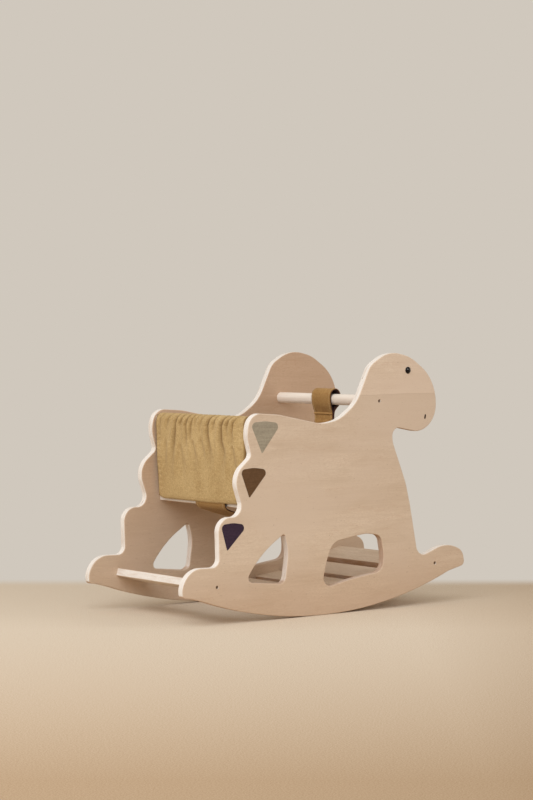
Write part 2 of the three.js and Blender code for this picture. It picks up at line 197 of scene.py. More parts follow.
class Graph:
    """A material and short ways to add nodes to it."""

    def __init__(self, name):
        self.material = bpy.data.materials.new(name)
        self.material.use_nodes = True
        self.tree = self.material.node_tree
        self.tree.nodes.clear()

    def add(self, kind, inputs=(), **settings):
        node = self.tree.nodes.new("ShaderNode" + kind)
        for key, value in settings.items():
            setattr(node, key, value)
        for socket, value in dict(inputs).items():
            self.feed(node.inputs[socket], value)
        return node

    def feed(self, socket, value):
        if isinstance(value, bpy.types.Node):
            value = value.outputs[0]
        if isinstance(value, bpy.types.NodeSocket):
            self.tree.links.new(value, socket)
        else:
            socket.default_value = value

    def coordinates(self, kind="Object"):
        return self.add("TexCoord").outputs[kind]

    def math(self, operation, first, second=0.0, third=0.0):
        return self.add("Math", {0: first, 1: second, 2: third}, operation=operation)

    def times(self, first, *others):
        for other in others:
            first = self.math("MULTIPLY", first, other)
        return first

    def total(self, *terms):
        """The sum of (value, weight) pairs."""
        result = self.times(*terms[0])
        for value, weight in terms[1:]:
            result = self.math("MULTIPLY_ADD", value, weight, result)
        return result

    def along(self, vector, direction):
        inputs = {0: vector, 1: direction}
        return self.add("VectorMath", inputs, operation="DOT_PRODUCT").outputs["Value"]

    def noises(self, vector, offset=(0, 0, 0)):
        """A function that adds noises with the same coordinates and offset."""
        def noise_of(stretch, detail=2.0, roughness=0.5, distortion=0.0):
            mapped = self.add("Mapping", {"Vector": vector, "Location": offset, "Scale": stretch})
            inputs = {"Vector": mapped, "Scale": 1.0, "Detail": detail, "Roughness": roughness,
                      "Distortion": distortion}
            return self.add("TexNoise", inputs).outputs["Fac"]
        return noise_of

    def span(self, value, low, high, to_low=0.0, to_high=1.0, smooth=False):
        inputs = dict(enumerate((value, low, high, to_low, to_high)))
        kind = "SMOOTHSTEP" if smooth else "LINEAR"
        return self.add("MapRange", inputs, interpolation_type=kind).outputs["Result"]

    def mix(self, share, first, second, blend="MIX"):
        inputs = {0: share, 6: first, 7: second}
        return self.add("Mix", inputs, data_type="RGBA", blend_type=blend).outputs[2]

    def tint(self, colour, tone, *limits, smooth=False):
        """The colour mixed with a tone by the span of a value."""
        return self.mix(self.span(*limits, smooth=smooth), colour, tone)

    def blend(self, share, first, second):
        return self.add("Mix", {0: share, 2: first, 3: second}, data_type="FLOAT").outputs[0]

    def bump(self, height, distance, strength=1.0):
        inputs = {"Height": height, "Distance": distance, "Strength": strength}
        return self.add("Bump", inputs).outputs["Normal"]

    def finish(self, colour, roughness, bumped=None, **others):
        shader = self.add("BsdfPrincipled", {"Base Color": colour, "Roughness": roughness})
        if bumped is not None:
            self.feed(shader.inputs["Normal"], bumped)
        for name, value in others.items():
            self.feed(shader.inputs[name.replace("_", " ")], value)
        self.add("OutputMaterial", {"Surface": shader})
        return self.material


# ---- wood materials


def board_place(graph, grain, across, middle):
    """Metres along the grain, sideways to it and across the layers, and the last of them alone."""
    inputs = {0: graph.coordinates(), 1: middle}
    point = graph.add("VectorMath", inputs, operation="SUBTRACT").outputs[0]
    sideways = Vector(across).cross(Vector(grain))
    parts = [graph.along(point, direction) for direction in (grain, sideways, across)]
    return graph.add("CombineXYZ", dict(enumerate(parts))), parts[2]


def veneer(graph, place, seed, joint=None):
    """Colour and height of a birch face: fine streaks, slow figure, pores, and a change of tone at a
    joint, lighter above it partly as painted light.
    """
    figure_of = graph.noises(place, (seed * 7.3, seed * 3.1, seed * 1.7))
    streaks = figure_of((16, 520, 40), 3.0, 0.62)
    figure = figure_of((3.2, 26, 3), 3.0, 0.55, 0.35)
    flame = figure_of((13, 78, 20), 4.0, 0.62, 0.8)
    tone = graph.total((streaks, 0.26), (figure, 0.42), (flame, 0.32))
    colour = graph.tint(FACE_LIGHT, FACE_DARK, tone, 0.39, 0.64)
    colour = graph.tint(colour, FACE_DARK, figure_of((190, 400, 190), 4.0, 0.8), 0.42, 0.6, 0, 0.5)
    vein = graph.math("SUBTRACT", figure_of((7, 38, 12), 3.0, 0.6, 0.6), 0.56)
    colour = graph.tint(colour, FACE_VEIN, graph.math("ABSOLUTE", vein), 0.0, 0.012, 0.4, 0)
    colour = graph.tint(colour, FACE_PINK, figure_of((5, 9, 3)), 0.42, 0.66, 0, 0.8, smooth=True)
    if joint is not None:
        # Above the joint the face is lighter: partly another veneer sheet, partly painted light from
        # above.
        colour = graph.tint(colour, FACE_UPPER, joint, -0.001, 0.001, 0, 0.3, smooth=True)
        below = graph.span(joint, -0.001, 0.001, 0.4, 0, smooth=True)
        colour = graph.mix(below, colour, FACE_PINK)
        shade_below = graph.times(graph.span(joint, -0.022, -0.0005), below, 0.3)
        colour = graph.mix(shade_below, colour, FACE_DARK)
        colour = graph.tint(colour, FACE_PORE, graph.math("ABSOLUTE", joint), 0.0002, 0.0012, 0.12, 0)
    pores = graph.span(figure_of((90, 900, 90), 2.0, 0.6), 0.66, 0.76, 0, 0.5)
    colour = graph.mix(pores, colour, FACE_PORE)
    colour = graph.tint(colour, FACE_PORE, figure_of((180, 260, 180), 1.0), 0.75, 0.81, 0, 0.5)
    return colour, graph.total((pores, -0.8), (streaks, 0.7))


def ply_edge(graph, place, across, seed, burnt):
    """Colour and height of a cut edge: layers along and across by turns, glue, voids, and painted shade
    by the burnt share.
    """
    layer = graph.math("MULTIPLY_ADD", across, PLY_LAYERS / (PLY * MM), PLY_LAYERS / 2)
    crossed = graph.span(graph.math("PINGPONG", layer, 1.0), 0.44, 0.56)
    glue_line = graph.span(graph.math("PINGPONG", layer, 0.5), 0.0, 0.11, 0.55, 0, smooth=True)
    fibres = graph.noises(place, (seed * 4.9, seed * 2.3, seed))
    tone = graph.blend(crossed, fibres((60, 60, 2400)), fibres((700, 700, 1500), 2.0, 0.6))
    colour = graph.tint(EDGE_LIGHT, EDGE_DARK, tone, 0.35, 0.7)
    colour = graph.mix(graph.times(crossed, 0.45), colour, EDGE_DARK)
    colour = graph.mix(glue_line, colour, EDGE_GLUE)
    colour = graph.tint(colour, EDGE_GLUE, fibres((26, 26, 160)), 0.5, 0.75, 0, 0.35)
    inner = graph.span(graph.math("ABSOLUTE", across), 0.0052, 0.0046)
    gap = graph.times(graph.span(fibres((42, 42, 700), 1.0, 0.4), 0.79, 0.81), inner)
    # Painted shade on the edges by the burnt share, mottled a little.
    edge_shade_mottle = graph.span(fibres((30, 30, 90), 3.0, 0.6), 0.3, 0.6, 0.75, 1.0)
    colour = graph.mix(graph.times(burnt, edge_shade_mottle), colour, EDGE_SHADE)
    colour = graph.mix(gap, colour, EDGE_VOID)
    return colour, graph.total((tone, 0.5), (glue_line, -1.0), (gap, -4.0))


def edge_shade_mask(graph):
    """Where the panels' edges get painted shade: on those facing down, and inside the cut-outs."""
    split = graph.add("SeparateXYZ", {0: graph.coordinates()})
    x, z = split.outputs[0], split.outputs[2]
    facing_up = graph.along(graph.coordinates("Normal"), (0, 0, 1))
    raised = graph.times(graph.span(z, 0.04, 0.05), graph.span(z, 0.158, 0.154))
    in_front = graph.times(graph.span(x, -0.03, -0.024), graph.span(x, 0.146, 0.142), raised, 0.72)
    in_rear = graph.times(graph.span(x, -0.2, -0.19), graph.span(x, -0.09, -0.1), raised,
                          graph.span(facing_up, 0.5, 0.8, 0.22, 0.8))
    down = graph.span(facing_up, -0.2, -0.75, 0, 0.95, smooth=True)
    return graph.math("MAXIMUM", down, graph.math("MAXIMUM", in_front, in_rear))


def plywood(name, seed, grain, across, middle, joint_height=None, brown=0.0, shade=0.0):
    """Veneer on the faces, layers on the edges with painted shade by brown; the panels add a joint and
    painted shade.
    """
    graph = Graph(name)
    place, depth = board_place(graph, grain, across, middle)
    if joint_height is None:
        face, face_height = veneer(graph, place, seed)
    else:
        # The panels' edges get painted shade where they face down and inside the cut-outs.
        brown = edge_shade_mask(graph)
        height_above = graph.along(graph.coordinates(), (0, 0, 1))
        wander = graph.noises(graph.coordinates())((9, 9, 9), 1.0)
        joint = graph.math("SUBTRACT", height_above, joint_height * MM)
        joint = graph.math("MULTIPLY_ADD", wander, 0.008, joint)
        face, face_height = veneer(graph, place, seed, joint)
        # Painted shade on the faces: on the left panel more the higher it is, and on both towards the
        # floor.
        upper = graph.span(height_above, 0.1, 0.4, 0.3 * shade, shade)
        lower = graph.span(height_above, 0.15, 0.01, 0, 0.5 - 0.5 * shade, smooth=True)
        for share in (upper, lower):
            face = graph.mix(share, face, FACE_SHADE, blend="MULTIPLY")
    edge, edge_height = ply_edge(graph, place, depth, seed, brown)
    facing = graph.math("ABSOLUTE", graph.along(graph.coordinates("Normal"), across))
    is_face = graph.span(facing, 0.32, 0.6, smooth=True)
    colour = graph.mix(is_face, edge, face)
    bumped = graph.bump(graph.blend(is_face, edge_height, face_height), 0.00012, 0.5)
    rough = graph.span(graph.noises(place)((30, 90, 30)), 0.3, 0.7, 0.52, 0.64)
    return graph.finish(colour, rough, bumped, Specular_IOR_Level=0.35)


def bar_wood(name, seed):
    """A turned bar of pale wood, its grain along Y."""
    graph = Graph(name)
    grain = graph.noises(graph.coordinates(), (seed * 3.3, seed * 5.1, seed))
    streaks = grain((420, 9, 420), 3.0, 0.6)
    figure = grain((60, 4, 60), 2.0, 0.5, 0.3)
    tone = graph.total((streaks, 0.5), (figure, 0.5))
    colour = graph.tint(BAR_LIGHT, BAR_DARK, tone, 0.38, 0.64)
    colour = graph.tint(colour, EDGE_GLUE, grain((900, 60, 900), 1.0), 0.68, 0.78, 0, 0.35)
    rough = graph.span(figure, 0.3, 0.7, 0.42, 0.55)
    return graph.finish(colour, rough, graph.bump(streaks, 0.0001, 0.4), Specular_IOR_Level=0.4)


# ---- cloth, paint, gloss and metal


def woven(name, light, dark, shadow, seed):
    """Plain-woven cloth: crossing threads, slubs, faded patches, painted shade from the mesh and a soft
    fuzz.
    """
    graph = Graph(name)
    place = graph.coordinates("UV")
    split = graph.add("SeparateXYZ", {0: place})
    turn = math.pi / (WEAVE_PITCH * MM)
    warp, weft = (graph.math("SINE", graph.times(split.outputs[k], turn)) for k in range(2))
    over = graph.span(graph.times(warp, weft), -0.25, 0.25)
    ridge = graph.blend(over, graph.math("ABSOLUTE", warp), graph.math("ABSOLUTE", weft))
    fibres = graph.noises(place, (seed * 2.7, seed * 1.9, seed))
    slubs = graph.math("MAXIMUM", fibres((900, 110, 1), 2.0, 0.6), fibres((110, 900, 1), 2.0, 0.6))
    speck = fibres((420, 420, 1), 3.0, 0.7)
    patches = fibres((22, 14, 1), 3.0, 0.55)
    mottle = fibres((170, 170, 1), 4.0, 0.75)
    tone = graph.total((slubs, 0.12), (speck, 0.4), (mottle, 0.3), (patches, 0.22))
    colour = graph.tint(dark, light, tone, 0.42, 0.64)
    # Painted shade in the cloth's creases, hem and edges, from an attribute of the mesh.
    painted_shade = graph.add("Attribute", attribute_name="painted_shade").outputs["Fac"]
    colour = graph.mix(graph.times(painted_shade, 0.78), colour, shadow)
    colour = graph.tint(colour, dark, ridge, 0.1, 0.6, 0.42, 0)
    height = graph.total((slubs, 0.9), (ridge, 0.5), (speck, 0.8))
    return graph.finish(colour, 0.93, graph.bump(height, 0.00035, 0.7), Sheen_Weight=0.07,
                        Sheen_Roughness=0.45, Specular_IOR_Level=0.2)


def fine_grained(name, size, colours, shares, rough, relief=None, detail=3.0, **others):
    """Two colours mixed by a fine noise, which can also give the roughness and a relief."""
    graph = Graph(name)
    grain = graph.noises(graph.coordinates())((size, size, size), detail)
    colour = graph.tint(*colours, grain, *shares)
    if isinstance(rough, tuple):
        rough = graph.span(grain, 0.3, 0.7, *rough)
    return graph.finish(colour, rough, graph.bump(grain, *relief) if relief else None, **others)


def paint(name, colour, seed):
    """Thin matt paint that lets the wood's grain show."""
    graph = Graph(name)
    brushed = graph.noises(graph.coordinates(), (seed, seed * 2.3, seed * 0.7))
    grain = brushed((16, 40, 520), 3.0, 0.6)
    mottle = brushed((240, 240, 240), 3.0, 0.6)
    lighter = tuple(min(1.0, c * 1.16 + 0.004) for c in colour[:3]) + (1.0,)
    darker = tuple(c * 0.86 for c in colour[:3]) + (1.0,)
    tone = graph.total((mottle, 0.4), (grain, 0.6))
    blended = graph.tint(lighter, darker, tone, 0.36, 0.64)
    rough = graph.span(mottle, 0.3, 0.7, 0.55, 0.7)
    return graph.finish(blended, rough, graph.bump(tone, 0.0001, 0.5), Specular_IOR_Level=0.35)


# ---- outlines


def arc(centre, radius, start, turn, steps, closing=1):
    """Points round a centre in X and Z, from an angle and through a turn."""
    angles = (start + turn * k / steps for k in range(steps + closing))
    return [centre + Vector((math.cos(a), math.sin(a))) * radius for a in angles]


def rounded(corners):
    """A closed outline in X and Z, millimetres, from corners [X, Z, radius]."""
    points = []
    for i, (x, z, radius) in enumerate(corners):
        corner = Vector((x, z))
        back = (Vector(corners[i - 1][:2]) - corner).normalized()
        ahead = (Vector(corners[(i + 1) % len(corners)][:2]) - corner).normalized()
        half = back.angle(ahead) / 2
        centre = corner + (back + ahead).normalized() * (radius / math.sin(half))
        start = corner + back * (radius / math.tan(half)) - centre
        end = corner + ahead * (radius / math.tan(half)) - centre
        turn = math.atan2(start.cross(end), start.dot(end))
        steps = max(2, math.ceil(abs(turn) / CURVE_STEP))
        points += arc(centre, radius, math.atan2(start.y, start.x), turn, steps)
    return points


def smooth_loop(points):
    """A finer loop through the same points, straight or curved as they are, and its directions."""
    count = len(points)
    chords = [points[(i + 1) % count] - points[i] for i in range(count)]
    tangents = []
    for i, after in enumerate(chords):
        before = chords[i - 1]
        if max(before.length, after.length) > SAME_LENGTH * min(before.length, after.length):
            tangents.append(max(before, after, key=lambda c: c.length).normalized())
        else:
            turn = before / before.length_squared + after / after.length_squared
            tangents.append(turn.normalized())
    fine, directions = [], []
    for i, chord in enumerate(chords):
        j = (i + 1) % count
        steps = max(1, math.ceil(tangents[i].angle(tangents[j], 0) / CURVE_STEP))
        ends = points[i], tangents[i] * chord.length, points[j], tangents[j] * chord.length
        for k in range(steps):
            t = k / steps
            shares = (2 * t ** 3 - 3 * t ** 2 + 1, t ** 3 - 2 * t ** 2 + t,
                      3 * t ** 2 - 2 * t ** 3, t ** 3 - t ** 2)
            slopes = (6 * t ** 2 - 6 * t, 3 * t ** 2 - 4 * t + 1,
                      6 * t - 6 * t ** 2, 3 * t ** 2 - 2 * t)
            fine.append(sum((end * share for end, share in zip(ends, shares)), Vector((0, 0))))
            slope = sum((end * share for end, share in zip(ends, slopes)), Vector((0, 0)))
            directions.append(slope.normalized())
    return fine, directions


def loop_directions(points):
    """The direction along a closed loop at each of its points."""
    count = len(points)
    return [(points[(i + 1) % count] - points[i - 1]).normalized() for i in range(count)]


def board_loop(points):
    """A board's section with rounded corners, and the directions along it."""
    count = len(points)
    corners = [(p.x / MM, p.y / MM, BOARD_ROUNDOVER) for i, p in enumerate(points)
               if (p - points[i - 1]).angle(points[(i + 1) % count] - p, 0) > REAL_CORNER]
    fine = [p * MM for p in rounded(corners)]
    return fine, loop_directions(fine)


# ---- wooden pieces


def welded(node):
    """A CAD node's points and triangles, with shared corners joined."""
    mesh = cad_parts[node].data
    places, points, faces = {}, [], []
    for polygon in mesh.polygons:
        face = []
        for i in polygon.vertices:
            point = mesh.vertices[i].co
            key = tuple(round(c, 6) for c in point)
            if key not in places:
                places[key] = len(points)
                points.append(point.copy())
            face.append(places[key])
        if len(set(face)) == len(face):
            faces.append(face)
    return points, faces


def edge_loops(faces):
    """The closed loops round a set of faces, as lists of point numbers."""
    sides = {(face[k - 1], face[k]) for face in faces for k in range(len(face))}
    following = {a: b for a, b in sides if (b, a) not in sides}
    loops = []
    while following:
        start = next(iter(following))
        loop = [start]
        while following[loop[-1]] != start:
            loop.append(following[loop[-1]])
        for i in loop:
            del following[i]
        loops.append(loop)
    return loops


def skin(mesh, rings):
    """Faces between closed rings of points. A ring may be a single point."""
    for first, second in zip(rings, rings[1:]):
        for k in range(max(len(first), len(second))):
            corners = [first[k % len(first)], first[(k + 1) % len(first)],
                       second[(k + 1) % len(second)], second[k % len(second)]]
            mesh.faces.new(list(dict.fromkeys(corners)))


def ring_at(mesh, centre, across, up, sides):
    """A ring of points about a centre, from two of its radii."""
    angles = (2 * math.pi * k / sides for k in range(sides))
    return [mesh.verts.new(centre + across * math.cos(a) + up * math.sin(a)) for a in angles]


def tube(mesh, rings):
    skin(mesh, rings)
    mesh.faces.new(rings[0][::-1])
    mesh.faces.new(rings[-1])


def add_object(name, data):
    thing = bpy.data.objects.new(name, data)
    bpy.context.scene.collection.objects.link(thing)
    return thing


def smooth_object(name, mesh):
    """The built mesh as an object that is shaded smooth."""
    bmesh.ops.recalc_face_normals(mesh, faces=mesh.faces)
    data = bpy.data.meshes.new(name)
    mesh.to_mesh(data)
    mesh.free()
    data.shade_smooth()
    return add_object(name, data)


def add_wall(mesh, shading, loop, directions, into, levels, roundover):
    """The wall of one loop between the two faces, rounded at both. Returns the rings at the faces."""
    turns = [math.pi / 2 * k / ROUNDOVER_STEPS for k in range(ROUNDOVER_STEPS + 1)]
    if not roundover:
        turns = turns[-1:]
    rings = []
    for side, level in ((1, levels[1]), (-1, levels[0])):
        for angle in turns[::side]:
            inset, depth = roundover * (1 - math.sin(angle)), roundover * (1 - math.cos(angle))
            ring = []
            for point, direction in zip(loop, directions):
                inward = Vector((-direction.y, direction.x)) * into
                flat = point + inward * inset
                vertex = mesh.verts.new((flat.x, level - side * depth, max(flat.y, 0)))
                shading[vertex] = Vector((-inward.x * math.sin(angle), side * math.cos(angle),
                                          -inward.y * math.sin(angle)))
                ring.append(vertex)
            rings.append(ring)
    skin(mesh, rings)
    return rings[0], rings[-1]


def close_face(mesh, loops):
    """Fills a face between its outline, its cut-outs and its bores."""
    edges = []
    for loop in loops:
        for i, vertex in enumerate(loop):
            pair = (vertex, loop[(i + 1) % len(loop)])
            edges.append(mesh.edges.get(pair) or mesh.edges.new(pair))
    bmesh.ops.triangle_fill(mesh, edges=edges, use_beauty=True)


def true_object(name, mesh, shading):
    """The built mesh as an object with the true surface's normals, and flat faces with their own."""
    mesh.verts.index_update()
    known = {v.index: shading.get(v, Vector()) for v in mesh.verts}
    piece = smooth_object(name, mesh)
    normals = []
    for polygon in piece.data.polygons:
        for i in polygon.vertices:
            own = known[i].dot(polygon.normal) < 0.5
            normals.append(tuple(polygon.normal if own else known[i]))
    piece.data.normals_split_custom_set(normals)
    return piece


def wooden_piece(node, reshape, roundover):
    """A CAD node's wood with a fine skin; its bores stay as they are."""
    points, faces = welded(node)
    low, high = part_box(node)
    levels = (low.y, high.y)

    def touches(face, level, test=all):
        return test(abs(points[i].y - level) < SAME_PLACE for i in face)

    def spots(numbers):
        return {(round(points[i].x, 5), round(points[i].z, 5)) for i in numbers}

    caps = {level: [f for f in faces if touches(f, level)] for level in levels}
    bores = [f for f in faces if not any(touches(f, level) for level in levels)
             and not all(touches(f, level, any) for level in levels)]
    mesh, shading = bmesh.new(), {}
    vertices = {i: mesh.verts.new(points[i]) for i in sorted({i for f in bores for i in f})}
    for face in bores:
        mesh.faces.new([vertices[i] for i in face])
    rims, holes = {low.y: [], high.y: []}, {low.y: [], high.y: []}
    for level, other in (levels, levels[::-1]):
        through = spots(i for f in caps[other] for i in f)
        for loop in edge_loops(caps[level]):
            if not spots(loop) <= through:
                holes[level].append([vertices[i] for i in loop])
            elif level == high.y:
                fine, directions = reshape([Vector((points[i].x, points[i].z)) for i in loop])
                upper, lower = add_wall(mesh, shading, fine, directions, -1, levels, roundover)
                rims[high.y].append(upper)
                rims[low.y].append(lower)
    for level in levels:
        close_face(mesh, rims[level] + holes[level])
    return true_object(node + "_wood", mesh, shading)


def dress(piece, material, slot, *nodes):
    """Gives a new piece its material and a parent in the root body, and hides the CAD nodes that it
    stands for; the slot is not used.
    """
    piece.data.materials.append(material)
    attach(piece, "root")
    if nodes:
        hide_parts(*nodes)
    return piece


def darken_nostril(piece, burnt):
    """The nostril's walls and bottom have a material of their own."""
    piece.data.materials.append(burnt)
    x_low, x_high, z_low, z_high = NOSTRIL_BOX
    for polygon in piece.data.polygons:
        points = [piece.data.vertices[i].co / MM for i in polygon.vertices]
        inside = all(x_low <= p.x <= x_high and z_low <= p.z <= z_high for p in points)
        if inside and any(abs(p.y) < NOSTRIL_BELOW for p in points):
            polygon.material_index = 1


def make_panels():
    burnt = fine_grained("burnt_wood", 700, (seen(38, 24, 20), seen(66, 46, 36)), (0, 1), 0.85,
                         (0.0001, 0.6))
    for word, (seed, joint, shade) in PANELS.items():
        node = "side_panel_" + word
        low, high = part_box(node)
        middle = (0, (low.y + high.y) / 2, 0)
        piece = wooden_piece(node, smooth_loop, PANEL_ROUNDOVER * MM)
        material = plywood(node + "_plywood", seed, (1, 0, 0), (0, 1, 0), middle, joint, shade=shade)
        dress(piece, material, "plywood", node)
        darken_nostril(piece, burnt)


def make_boards():
    for seed, (node, tilt) in enumerate(BOARD_TILTS.items(), start=3):
        low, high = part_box(node)
        angle = math.radians(tilt)
        across = (-math.sin(angle), 0, math.cos(angle))
        # The footboards' edges get painted shade.
        brown = FOOTBOARD_EDGE_SHADE if node.startswith("footboard") else 0.0
        material = plywood(node + "_plywood", seed * 1.37, (0, 1, 0), across, (low + high) / 2,
                           brown=brown)
        dress(wooden_piece(node, board_loop, 0), material, "plywood", node)


# ---- bars, pins and screws


def smoothing_group():
    """Geometry nodes that shade smooth across shallow edges and keep sharp ones."""
    group = bpy.data.node_groups.new("smooth_shallow_edges", "GeometryNodeTree")
    for way in ("INPUT", "OUTPUT"):
        group.interface.new_socket("Geometry", in_out=way, socket_type="NodeSocketGeometry")
    start, faces, edges, angle, sharp, end = (group.nodes.new(kind) for kind in (
        "NodeGroupInput", "GeometryNodeSetShadeSmooth", "GeometryNodeSetShadeSmooth",
        "GeometryNodeInputMeshEdgeAngle", "FunctionNodeCompare", "NodeGroupOutput"))
    edges.domain = "EDGE"
    edges.inputs["Shade Smooth"].default_value = False
    sharp.inputs[1].default_value = SHARP_EDGE
    group.links.new(start.outputs[0], faces.inputs["Geometry"])
    group.links.new(faces.outputs["Geometry"], edges.inputs["Geometry"])
    group.links.new(angle.outputs["Unsigned Angle"], sharp.inputs[0])
    group.links.new(sharp.outputs["Result"], edges.inputs["Selection"])
    group.links.new(edges.outputs["Geometry"], end.inputs[0])
    return group


def refine(node, material, group):
    """Keeps a CAD node, joins its split corners, shades it smooth and gives it a material."""
    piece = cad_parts[node]
    piece.data.materials.clear()
    piece.data.materials.append(material)
    piece.modifiers.new("weld", "WELD").merge_threshold = SAME_PLACE
    piece.modifiers.new("smooth", "NODES").node_group = group


def make_round_parts():
    group = smoothing_group()
    bar, rod = bar_wood("turned_bar", 1.0), bar_wood("turned_rod", 2.0)
    steel = fine_grained("bronzed_steel", 500, (seen(110, 88, 68), STEEL), (0.35, 0.7), (0.38, 0.55),
                         (0.00005, 0.4), Metallic=0.5)
    for node in sorted(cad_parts):
        if node == "handlebar":
            refine(node, bar, group)
        elif node == "backrest_rod" or "_pin_" in node:
            refine(node, rod, group)
        elif "screw" in node:
            refine(node, steel, group)


# ---- eyes and spots


def turned(name, profile, centre, side):
    """A turned piece about Y: profile is (radius, distance out from the middle plane), metres."""
    mesh = bmesh.new()
    rings = []
    for radius, out in profile:
        middle = Vector((centre.x, side * out, centre.z))
        sides = TURNED_SIDES if radius else 1
        rings.append(ring_at(mesh, middle, Vector((radius, 0, 0)), Vector((0, 0, radius)), sides))
    skin(mesh, rings)
    return smooth_object(name, mesh)


def eye_profile(peg_end, face):
    """Peg, flat back, rounded rim and dome, as (radius, distance out)."""
    radius, rise, rim, peg = (EYE[key] * MM for key in ("radius", "rise", "rim", "peg"))
    profile = [(0, peg_end), (peg, peg_end), (peg, face), (radius - rim, face)]
    for k in range(1, EYE_RIM_STEPS + 1):
        angle = math.pi / 2 * k / EYE_RIM_STEPS
        profile.append((radius - rim + rim * math.sin(angle), face + rim * (1 - math.cos(angle))))
    dome = rise - rim
    ball = (radius ** 2 + dome ** 2) / (2 * dome)
    for k in range(1, EYE_DOME_STEPS):
        reach = radius * (1 - k / EYE_DOME_STEPS)
        profile.append((reach, face + rim + math.sqrt(ball ** 2 - reach ** 2) - (ball - dome)))
    return profile + [(0, face + rise)]


def make_eyes():
    gloss = fine_grained("eye_gloss", 300, (seen(8, 5, 10), seen(20, 14, 20)), (0, 1), (0.03, 0.06),
                         Specular_IOR_Level=0.45)
    for word, side in (("right", -1), ("left", 1)):
        node = "eye_" + word
        low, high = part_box(node)
        face = outer_face("side_panel_" + word) + EYE["gap"] * MM
        peg_end = min(abs(low.y), abs(high.y))
        piece = turned(node + "_cap", eye_profile(peg_end, face), (low + high) / 2, side)
        dress(piece, gloss, "eye_black", node)


def outer_face(node):
    """How far a node reaches from the middle plane."""
    return max(abs(corner.y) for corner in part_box(node))


def film(name, outline, y_from, y_to):
    """A thin flat film with a slightly domed rim."""
    mesh, shading = bmesh.new(), {}
    area = sum(outline[i - 1].cross(outline[i]) for i in range(len(outline)))
    into = 1 if area > 0 else -1
    for ring in add_wall(mesh, shading, outline, loop_directions(outline), into,
                         sorted((y_from, y_to)), SPOT_THICK * MM * 0.4):
        close_face(mesh, [ring])
    return true_object(name, mesh, shading)


def make_spots():
    paints = {name: paint("paint_" + name, colour, float(seed))
              for seed, (name, colour) in enumerate(PAINTS.items(), start=1)}
    for word, side in (("right", -1), ("left", 1)):
        start = side * (outer_face("side_panel_" + word) + SPOT_GAP * MM)
        for colour, corners in SPOTS.items():
            outline = [p * MM for p in rounded(corners)]
            piece = film(f"spot_{colour}_{word}", outline, start, start + side * SPOT_THICK * MM)
            dress(piece, paints[colour], "paint_" + colour)


# ---- cloth


def curve_through(points, step):
    """Evenly spaced places and directions along a smooth curve through points, and its length."""
    fine = []
    for i in range(len(points) - 1):
        a, b, c, d = (points[min(max(k, 0), len(points) - 1)] for k in range(i - 1, i + 3))
        for k in range(CURVE_PARTS):
            t = k / CURVE_PARTS
            fine.append(0.5 * (2 * b + (c - a) * t + (2 * a - 5 * b + 4 * c - d) * t ** 2
                               + (3 * b - a - 3 * c + d) * t ** 3))
    fine.append(points[-1].copy())
    distances = [0.0]
    for first, second in zip(fine, fine[1:]):
        distances.append(distances[-1] + (second - first).length)
    length = distances[-1]
    count = round(length / step)
    places, k = [], 0
    for i in range(count + 1):
        wanted = length * i / count
        while k < len(fine) - 2 and distances[k + 1] < wanted:
            k += 1
        share = (wanted - distances[k]) / (distances[k + 1] - distances[k])
        places.append(fine[k].lerp(fine[k + 1], min(share, 1)))
    return places, line_directions(places), length


def line_directions(points):
    """The direction along an open line at each of its points."""
    last = len(points) - 1
    return [(points[min(i + 1, last)] - points[max(i - 1, 0)]).normalized() for i in range(last + 1)]


def bell(value, width):
    return math.exp(-(value / width) ** 2)


def grid_sheet(name, rows, closed=False):
    """A sheet from rows of (point, cloth coordinates in metres, share of painted shade)."""
    data = bpy.data.meshes.new(name)
    wide, last = len(rows[0]), len(rows) - 1
    knots = [knot for row in rows for knot in row]
    faces = []
    for i in range(last + closed):
        j = (i + 1) % len(rows)
        for k in range(wide - 1):
            faces.append((i * wide + k, i * wide + k + 1, j * wide + k + 1, j * wide + k))
    data.from_pydata([tuple(point) for point, _, _ in knots], [], faces)
    painted_shade_layer = data.attributes.new("painted_shade", "FLOAT", "POINT")
    painted_shade_layer.data.foreach_set("value", [painted_shade for _, _, painted_shade in knots])
    layer = data.uv_layers.new(name="cloth")
    length = rows[-1][0][1][1] + rows[1][0][1][1]
    for polygon in data.polygons:
        wraps = min(polygon.vertices) < wide and max(polygon.vertices) >= last * wide
        for loop, vertex in zip(polygon.loop_indices, polygon.vertices):
            u, v = knots[vertex][1]
            layer.data[loop].uv = (u, length if wraps and vertex < wide else v)
    data.shade_smooth()
    return add_object(name, data)


def thicken(piece, thickness):
    solid = piece.modifiers.new("thickness", "SOLIDIFY")
    solid.thickness = thickness
    solid.offset = 0.0
    solid.use_even_offset = False


def eased(value, low, high):
    share = min(1.0, max(0.0, (value - low) / (high - low)))
    return share * share * (3 - 2 * share)


def folds_at(y, depth):
    """Height of the gathers at Y and at a depth below the cloth's top, and how much painted shade their
    creases get.
    """
    relief, dark = 0.0, 0.0
    for path, deep, half_width, shadow in FOLDS:
        first, last = path[0][1], path[-1][1]
        if depth < first - 6 or depth > last:
            continue
        middle = path[0][0]
        for (y_a, depth_a), (y_b, depth_b) in zip(path, path[1:]):
            if depth_a <= depth <= depth_b:
                middle = y_a + (y_b - y_a) * (depth - depth_a) / (depth_b - depth_a)
        fall = 1 - eased(depth, first + (last - first) * 0.2, last)
        strength = eased(depth, first - 6, first + 3) * fall
        away = (y - middle) / (half_width * (1 + 0.02 * (depth - first)))
        crease = bell(away, 1)
        relief += deep * strength * (0.55 * bell(abs(away) - 1.9, 1) - crease)
        dark += shadow * strength * crease * (1 - 0.55 * eased(depth, 36, 90))
    return relief, dark


def soft_wave(y, z, scale, seed):
    return noise.noise(Vector((y / scale, z / scale, seed)))


